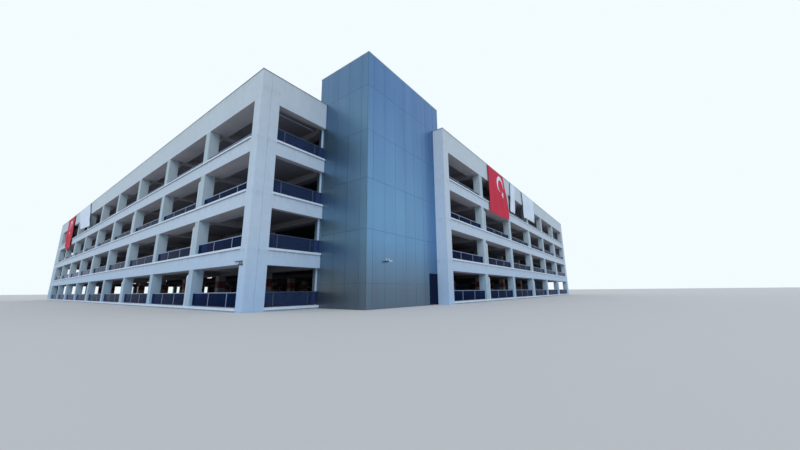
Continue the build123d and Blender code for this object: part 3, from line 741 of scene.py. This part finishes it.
def hung_cloth(left, foot, right, fixings, phase, stand, fold, count):
    """A banner as a function of s across and t down, both 0 to 1.

    In its plane it is a Coons patch: the blend of the left and right edges across,
    plus the blend of the top and foot down, minus the blend of the four corners.
    It stands out from the facade by the stand-off, plus three sines whose depth
    grows downward (upright folds, slanting folds and slow waves), plus scallops
    between the fixings that die out below the top edge, where it lies close to its
    batten."""
    share = np.linspace(0, 1, count)
    edge_left, edge_right = along_edge(left, share), along_edge(right, share)
    edge_foot = along_edge([left[-1], *foot, right[-1]], share)
    s, t = share[None, :, None], share[:, None, None]
    top_left, top_right = edge_left[0], edge_right[0]
    edge_top = top_left + share[:, None] * (top_right - top_left)
    corners = ((1 - s) * (1 - t) * top_left + s * (1 - t) * top_right
               + (1 - s) * t * edge_foot[0] + s * t * edge_foot[-1])
    flat = ((1 - s) * edge_left[:, None] + s * edge_right[:, None]
            + (1 - t) * edge_top[None] + t * edge_foot[None] - corners)
    s, t = s[..., 0], t[..., 0]
    folds = 0.9 + 0.8 * abs(top_right[0] - top_left[0])
    upright = np.sin(2 * np.pi * (folds * s + 0.25 * np.sin(2.3 * t + phase)) + phase)
    slanting = np.sin(2 * np.pi * (1.3 * folds * s - 0.9 * t) + 2.1 * phase)
    slow = np.sin(2 * np.pi * (0.6 * s + 1.7 * t) + 0.7 * phase)
    scallop = (0.5 - np.abs(np.sin(np.pi * fixings * s))) * np.exp(-t / 0.10)
    depth = fold * (0.12 + 0.88 * t ** 0.7)
    outward = depth * (0.45 * upright + 0.25 * slanting + 0.4 * slow) + 0.25 * fold * scallop
    return flat, outward + CLOTH_ON_BATTEN + (stand - CLOTH_ON_BATTEN) * (1 - np.exp(-t / 0.12))


def in_building(facade, along, height, outward):
    """Places on a facade as frame coordinates."""
    if facade == "wing":
        place = NEAR_X + along, WING_Y - outward, height
    else:
        place = NEAR_X - outward, NEAR_Y + along, height
    return np.stack(np.broadcast_arrays(*place), axis=-1)


def eyelet(centre, facade, radius=0.022, thickness=0.0045, steps=14, sides=6):
    """A ring: around a circle of the larger radius runs one of the smaller radius."""
    around = np.linspace(0, 2 * np.pi, steps, endpoint=False)[:, None]
    across = np.linspace(0, 2 * np.pi, sides, endpoint=False)[None, :]
    reach = radius + thickness * np.cos(across)
    along, height = centre[0] + reach * np.cos(around), centre[1] + reach * np.sin(around)
    points = in_building(facade, along, height, centre[2] + thickness * np.sin(across))
    faces = grid_faces(steps + 1, sides, wrap=True) % (steps * sides)
    if facade == "wing":
        faces = faces[:, ::-1]
    return points.reshape(-1, 3), faces.tolist()


def crescent_and_star(look):
    """A traditional crescent open downward with a star below it, as a mask.

    On the UV map "figure", in breadths of the flag, the crescent is the disc of
    radius 1/4 less the disc of radius 1/5 whose centre is 1/16 lower. The star is
    where distance times the sine of (folded angle + 18 degrees) is under 1/8 of the
    sine of 18 degrees, the angle from upright folded into tenths of a turn."""
    where = look.add("ShaderNodeUVMap", uv_map="figure").outputs[0]

    def distance(drop):
        centre = look.feed(look.add("ShaderNodeCombineXYZ"), Y=-drop).outputs[0]
        span = look.add("ShaderNodeVectorMath", operation="DISTANCE")
        return look.feed(span, where, centre).outputs["Value"]

    star_drop, tip = 0.321, math.pi / 10
    disc = look.math("LESS_THAN", distance(0.0), 0.25)
    crescent = look.times(disc, look.math("GREATER_THAN", distance(0.0625), 0.20))
    part = look.split(where)
    turn = look.math("ARCTAN2", part["X"], look.math("ADD", part["Y"], star_drop))
    folded = look.math("PINGPONG", turn, 2 * tip)
    reach = look.times(distance(star_drop), look.math("SINE", look.math("ADD", folded, tip)))
    return look.math("MAXIMUM", crescent, look.math("LESS_THAN", reach, 0.125 * math.sin(tip)))


def banner_fabric(name, cloth, figure=None):
    """Matt cloth: a weave, broad creases, a doubled hem with its seam, and rain marks."""
    look = Shader(name, Roughness=0.8, Specular_IOR_Level=0.2)
    shares = look.split(look.add("ShaderNodeUVMap", uv_map="edge").outputs[0])
    nearer = [look.math("MINIMUM", shares[way], look.minus(1.0, shares[way])) for way in "XY"]
    rim = look.math("MINIMUM", *nearer)
    hem = look.scaled(rim, HEM - 0.003, HEM + 0.003, 1.0, 0.0)
    seam = look.times(look.scaled(rim, HEM - 0.005, HEM - 0.001),
                      look.scaled(rim, HEM + 0.001, HEM + 0.005, 1.0, 0.0))
    tone = look.laid_over(cloth, look.stains(0.9, 5.0), 0.30, tint(cloth, 0.62))
    if figure:
        tone = look.mix(crescent_and_star(look), tone, figure)
    tone = look.laid_over(tone, hem, 0.25, tint(cloth, 0.6))
    look.base(look.laid_over(tone, seam, 0.5, tint(cloth, 0.35)))
    threads = look.group("weave", Vector=look.add("ShaderNodeUVMap", uv_map="cloth").outputs[0])
    height = look.math("ADD", look.noise(3.2, 5.0), look.times(threads, 0.01))
    look.bump(look.math("ADD", height, look.times(hem, 0.08)), 0.8, 0.03)
    return look.material


class CARPARK_OT_banners(bpy.types.Operator):
    """Hang the red and white banners from their battens"""
    bl_idname = "carpark.banners"
    bl_label = "Banners"

    def execute(self, context):
        use = context.scene.carpark_banners
        cloth = {"red": banner_fabric("red_fabric", use.red, use.white),
                 "white": banner_fabric("white_fabric", use.white)}
        steel = Shader("eyelet_metal", Roughness=0.35, Metallic=0.9)
        steel.base(steel.mix(steel.noise(80.0), *EYELET_METAL))
        for number, name in enumerate(BANNERS):
            self.hang(name, number + 1.0, use, cloth, steel.material)
        return {"FINISHED"}

    def hang(self, name, phase, use, cloth, steel):
        """One banner with its eyelets; phase sets its folds apart from the others'."""
        facade, colour, fixings, left, foot, right = BANNERS[name]
        flat, outward = hung_cloth(left, foot, right, fixings, phase, use.stand, use.fold, use.grid)
        points = in_building(facade, flat[..., 0], flat[..., 1], outward)
        skin = points.reshape(-1, 3), grid_faces(use.grid, use.grid)[:, ::-1].tolist()
        banner = piece(name, [skin], cloth[colour], 180.0)
        self.map_cloth(banner, name, flat)
        rings = []
        for share in np.linspace(0.02, 0.98, fixings + 1):
            column = int(round(share * (use.grid - 1)))
            middle = (*(flat[1, column] - [0, 0.02]), outward[1, column] + 0.004)
            rings.append(eyelet(middle, facade))
        fixing = piece(name + "_eyelets", rings, steel, 60.0)
        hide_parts("banners_" + colour)

    def map_cloth(self, banner, name, flat):
        """UV maps in metres of cloth, in shares of each edge, and round the figure."""
        corner = np.zeros(len(banner.data.loops), np.int32)
        banner.data.loops.foreach_get("vertex_index", corner)
        share = np.linspace(0, 1, len(flat))
        layers = {"cloth": flat, "edge": np.stack(np.meshgrid(share, share), axis=-1)}
        if name in FIGURES:
            along, height, breadth, lean = FIGURES[name]
            turn = np.array([[math.cos(lean), -math.sin(lean)], [math.sin(lean), math.cos(lean)]])
            layers["figure"] = (flat - [along, height]) / breadth @ turn
        for layer, values in layers.items():
            target = banner.data.uv_layers.new(name=layer).data
            target.foreach_set("uv", values.reshape(-1, 2)[corner].ravel())


# Fittings

UP = np.array([0.0, 0.0, 1.0])
PIPE_GAP = {"left": 0.13, "wing": 0.165}  # from a pillar's edge to the pipe's middle
PIPE_CLEARANCE = 0.003  # between the facade and the pipe
PIPE_HEAD = 0.19  # from the facade inward to the pipe's head
COLLAR = 0.006  # what a collar stands out from the pipe
CLIP = 0.004
CLIP_LENGTH = 0.018
CLIP_HEIGHTS = (0.30, 0.62)  # over the sill


def painted_fitting(name, paint, roughness):
    """Painted or moulded surface, soiled in streaks."""
    look = Shader(name, Roughness=roughness)
    look.base(look.laid_over(paint, look.stains(2.0, 12.0), 0.5, tint(paint, 0.55)))
    look.grain(200.0, 0.08, 0.0005, 20.0)
    return look.material


def bar(start, end, across, radius, points=4, sides=14):
    """A straight round bar."""
    return tube(np.linspace(start, end, points), across, radius, sides)


class CARPARK_OT_downpipes(bpy.types.Operator):
    """Stand a downpipe beside every second pillar, with a swan neck under the deck"""
    bl_idname = "carpark.downpipes"
    bl_label = "Downpipes"

    def execute(self, context):
        use = context.scene.carpark_fittings
        pillars = {"left": (pillar_edges(1, NEAR_X) - NEAR_Y)[:-1], "wing": pillar_edges(0, WING_Y) - NEAR_X}
        parts = []
        for facade, edges in pillars.items():
            for level in range(STOREYS - 1):
                for far in edges[::2, 1]:
                    parts += self.pipe(use, facade, far, level)
        piece("downpipes", parts, painted_fitting("downpipe_paint", use.white, 0.4))
        return {"FINISHED"}

    def pipe(self, use, facade, pillar, level):
        """One pipe beside the pillar's edge, standing on the sill, with a collar at its
        foot, at its bend and at its head, and two clips held by arms from the pillar."""
        low, high = SILL_TOP + STOREY * level, SOFFIT + STOREY * level
        along, inward = pillar + PIPE_GAP[facade], use.pipe + PIPE_CLEARANCE
        foot = in_building(facade, along, low, -inward)
        head = in_building(facade, along, high, -PIPE_HEAD)
        across = np.cross(head - foot, UP)
        parts = [tube(swan_neck(foot, head, use.bend), across, use.pipe)]
        bend = high - low - use.bend
        clips = [(rise, CLIP_LENGTH, CLIP) for rise in CLIP_HEIGHTS]
        for rise, size, extra in [(0.0, 0.035, COLLAR), *clips, (bend - 0.05, 0.05, COLLAR)]:
            parts.append(bar(foot + rise * UP, foot + (rise + size) * UP, across, use.pipe + extra, 3, 20))
        for rise in CLIP_HEIGHTS:
            ends = np.array([pillar - 0.002, along])
            arm = in_building(facade, ends, low + rise + CLIP_LENGTH / 2, -inward)
            parts.append(bar(*arm, UP, 0.008, 3, 10))
        parts.append(bar(head - 0.03 * UP, head, across, use.pipe + COLLAR, 3, 20))
        return parts


class CARPARK_OT_service_pipe(bpy.types.Operator):
    """Hang the straight pipe under the top deck of the short bay beside the tower"""
    bl_idname = "carpark.service_pipe"
    bl_label = "Service Pipe"

    def execute(self, context):
        use = context.scene.carpark_fittings
        y, z = NEAR_Y + 0.70, SLAB_UNDERSIDE - 0.04
        start, end, end_to_hanger = NEAR_X + 0.60, NEAR_X + 2.35, 0.15
        parts = [bar((start, y, z), (end, y, z), UP, 0.019, 24, 20)]
        for x in np.linspace(start + end_to_hanger, end - end_to_hanger, 4):
            parts.append(bar((x - 0.012, y, z), (x + 0.012, y, z), UP, 0.023, 3, 20))
            parts.append(bar((x, y, z + 0.01), (x, y, SLAB_UNDERSIDE), (1, 0, 0), 0.005, 3, 10))
        piece("service_pipe", parts, painted_fitting("service_pipe_paint", use.white, 0.45))
        return {"FINISHED"}


class CARPARK_OT_cameras(bpy.types.Operator):
    """Mount the small watch cameras on the near pier and on the tower"""
    bl_idname = "carpark.cameras"
    bl_label = "Watch Cameras"

    def execute(self, context):
        use = context.scene.carpark_fittings
        dark, bright = self.on_tower()
        dark += self.on_pier()
        piece("camera_housings", dark, painted_fitting("camera_housing", use.dark, 0.35))
        piece("camera_brackets", bright, painted_fitting("camera_bracket", use.white, 0.4))
        return {"FINISHED"}

    def on_pier(self):
        """A camera hung from an arm that two stubs hold to the near pier's left side."""
        x = NEAR_X - 0.021

        def at(along, z):
            return x, NEAR_Y + along, z

        drops = [bar(at(along, top), at(along, foot), (0, 1, 0), 0.007)
                 for along, top, foot in ((0.20, 1.302, 1.222), (0.30, 1.303, 1.228))]
        stubs = [bar(at(along, 1.303), (NEAR_X + 0.001, NEAR_Y + along, 1.303), UP, 0.010)
                 for along in (0.36, 0.51)]
        arm = bar(at(0.17, 1.300), at(0.54, 1.306), UP, 0.012)
        return [self.housing(at(0.36, 1.228), at(0.15, 1.216), UP, 0.017), arm, *drops, *stubs]

    def on_tower(self):
        """The dark housing and the bright pieces of the pair on the tower's front: a
        housing, and two stays that each end in a round plate on the cladding."""
        face, y = TOWER_LOW.y, TOWER_LOW.y - 0.06
        dark = self.housing((NEAR_X + 3.245, y, 1.370), (NEAR_X + 3.13, y - 0.01, 1.355), (0, 1, 0), 0.022)
        bright = [self.housing((NEAR_X + 3.32, y, 1.385), (NEAR_X + 3.42, y - 0.01, 1.395), (0, 1, 0), 0.019)]
        for x in (NEAR_X + 3.215, NEAR_X + 3.345):
            seat = (x, face + 0.001, 1.44)
            bright.append(bar((x, y, 1.38), seat, (1, 0, 0), 0.009))
            bright.append(bar((x, face - 0.012, 1.44), seat, (1, 0, 0), 0.026))
        return [dark], bright

    def housing(self, back, front, across, radius):
        """A turned housing: a domed back, a straight body and a hood round a sunk lens,
        the radius as a function of the share of the length."""
        share = np.array([0.0, 0.015, 0.05, 0.10, 0.20, 0.80, 0.81, 0.99, 1.0, 0.995, 0.93])
        reach = np.array([0.35, 0.6, 0.85, 0.96, 1.0, 1.0, 1.12, 1.12, 1.06, 0.92, 0.90])
        back, front = np.asarray(back, float), np.asarray(front, float)
        ahead = (front - back) / np.linalg.norm(front - back)
        across = np.cross(ahead, np.cross(np.asarray(across, float), ahead))
        across /= np.linalg.norm(across)
        spine = back + share[:, None] * (front - back)
        return turned(spine, across, np.cross(ahead, across), radius * reach, 20)


# Stage

FLOOR_HALF = 1500.0
FLOOR_DROP = 0.001  # below the building


class CARPARK_OT_stage(bpy.types.Operator):
    """Make the floor, the light and the camera"""
    bl_idname = "carpark.stage"
    bl_label = "Stage"

    def execute(self, context):
        use = context.scene.carpark_stage
        context.scene.view_settings.view_transform = "Standard"
        self.floor(use)
        self.light(use)
        self.camera(use)
        return {"FINISHED"}

    def floor(self, use):
        """One wide plain square."""
        corners = [(x * FLOOR_HALF, y * FLOOR_HALF, -FLOOR_DROP)
                   for x, y in ((-1, -1), (1, -1), (1, 1), (-1, 1))]
        mesh = bpy.data.meshes.new("floor")
        mesh.from_pydata(corners, [], [(0, 1, 2, 3)])
        floor = placed("floor", mesh)
        look = Shader("plain_floor", Roughness=0.9)
        look.base(use.floor)
        mesh.materials.append(look.material)

    def light(self, use):
        """Even daylight and a soft lamp; the camera, mirrors and glass see the background."""
        world = bpy.data.worlds.new("studio")
        bpy.context.scene.world = world
        world.use_nodes = True
        sky = Nodes(world.node_tree)
        even = sky.feed(world.node_tree.nodes["Background"], Color=use.daylight, Strength=use.ambient)
        shown = sky.feed(sky.add("ShaderNodeBackground"), Color=use.sky)
        ray = sky.add("ShaderNodeLightPath").outputs
        mirrored = sky.math("MAXIMUM", ray["Is Camera Ray"], ray["Is Glossy Ray"])
        seen = sky.math("MAXIMUM", mirrored, ray["Is Transmission Ray"])
        mixed = sky.feed(sky.add("ShaderNodeMixShader"), seen, even.outputs[0], shown.outputs[0])
        sky.put(mixed.outputs[0], world.node_tree.nodes["World Output"].inputs["Surface"])
        lamp = bpy.data.lights.new("key", "SUN")
        lamp.energy = use.key
        lamp.angle = math.radians(40)
        placed("key", lamp).rotation_euler = (math.radians(50), 0, math.radians(-50))

    def camera(self, use):
        """A camera from heading, pitch and roll, with its eye set out from the near corner."""
        ahead = np.array([math.sin(use.heading) * math.cos(use.pitch),
                          math.cos(use.heading) * math.cos(use.pitch), math.sin(use.pitch)])
        level = np.array([math.cos(use.heading), -math.sin(use.heading), 0.0])
        above = np.cross(level, ahead)
        across = level * math.cos(use.roll) + above * math.sin(use.roll)
        upward = above * math.cos(use.roll) - level * math.sin(use.roll)
        eye = np.array([NEAR_X, NEAR_Y, 0.0]) + np.array(use.eye)
        data = bpy.data.cameras.new("camera")
        data.lens = use.lens
        data.clip_end = 5000.0
        camera = placed("camera", data)
        columns = np.stack([across, upward, -ahead, eye], axis=1)
        camera.matrix_world = Matrix([*columns.tolist(), [0, 0, 0, 1]])
        bpy.context.scene.camera = camera


SETTINGS = {"carpark_walls": WallSettings, "carpark_metal": MetalSettings, "carpark_banners": BannerSettings,
            "carpark_fittings": FittingSettings, "carpark_stage": StageSettings}
OPERATORS = [CARPARK_OT_walls, CARPARK_OT_concrete, CARPARK_OT_guards, CARPARK_OT_cladding, CARPARK_OT_door,
             CARPARK_OT_lights, CARPARK_OT_banners, CARPARK_OT_downpipes, CARPARK_OT_service_pipe,
             CARPARK_OT_cameras, CARPARK_OT_stage]


class CARPARK_PT_panel(bpy.types.Panel):
    """Lists the settings and steps of the car park"""
    bl_idname = "CARPARK_PT_panel"
    bl_label = "Car Park"
    bl_space_type = "VIEW_3D"
    bl_region_type = "UI"
    bl_category = "Car Park"

    def draw(self, context):
        for name, kind in SETTINGS.items():
            box = self.layout.box()
            for key in kind.__annotations__:
                box.prop(getattr(context.scene, name), key)
        for step in OPERATORS:
            self.layout.operator(step.bl_idname)


CLASSES = [*SETTINGS.values(), *OPERATORS, CARPARK_PT_panel]


def register():
    for kind in CLASSES:
        bpy.utils.register_class(kind)
    for name, kind in SETTINGS.items():
        setattr(bpy.types.Scene, name, PointerProperty(type=kind))


def unregister():
    for name in SETTINGS:
        delattr(bpy.types.Scene, name)
    for kind in reversed(CLASSES):
        bpy.utils.unregister_class(kind)


def main():
    register()
    for build in (weathering_group, grain_group, underside_group, runoff_and_shade_group, board_marks_group,
                  panel_tone_group, weave_group):
        build()
    for step in OPERATORS:
        area, name = step.bl_idname.split(".")
        getattr(getattr(bpy.ops, area), name)()


if __name__ == "__main__":
    main()
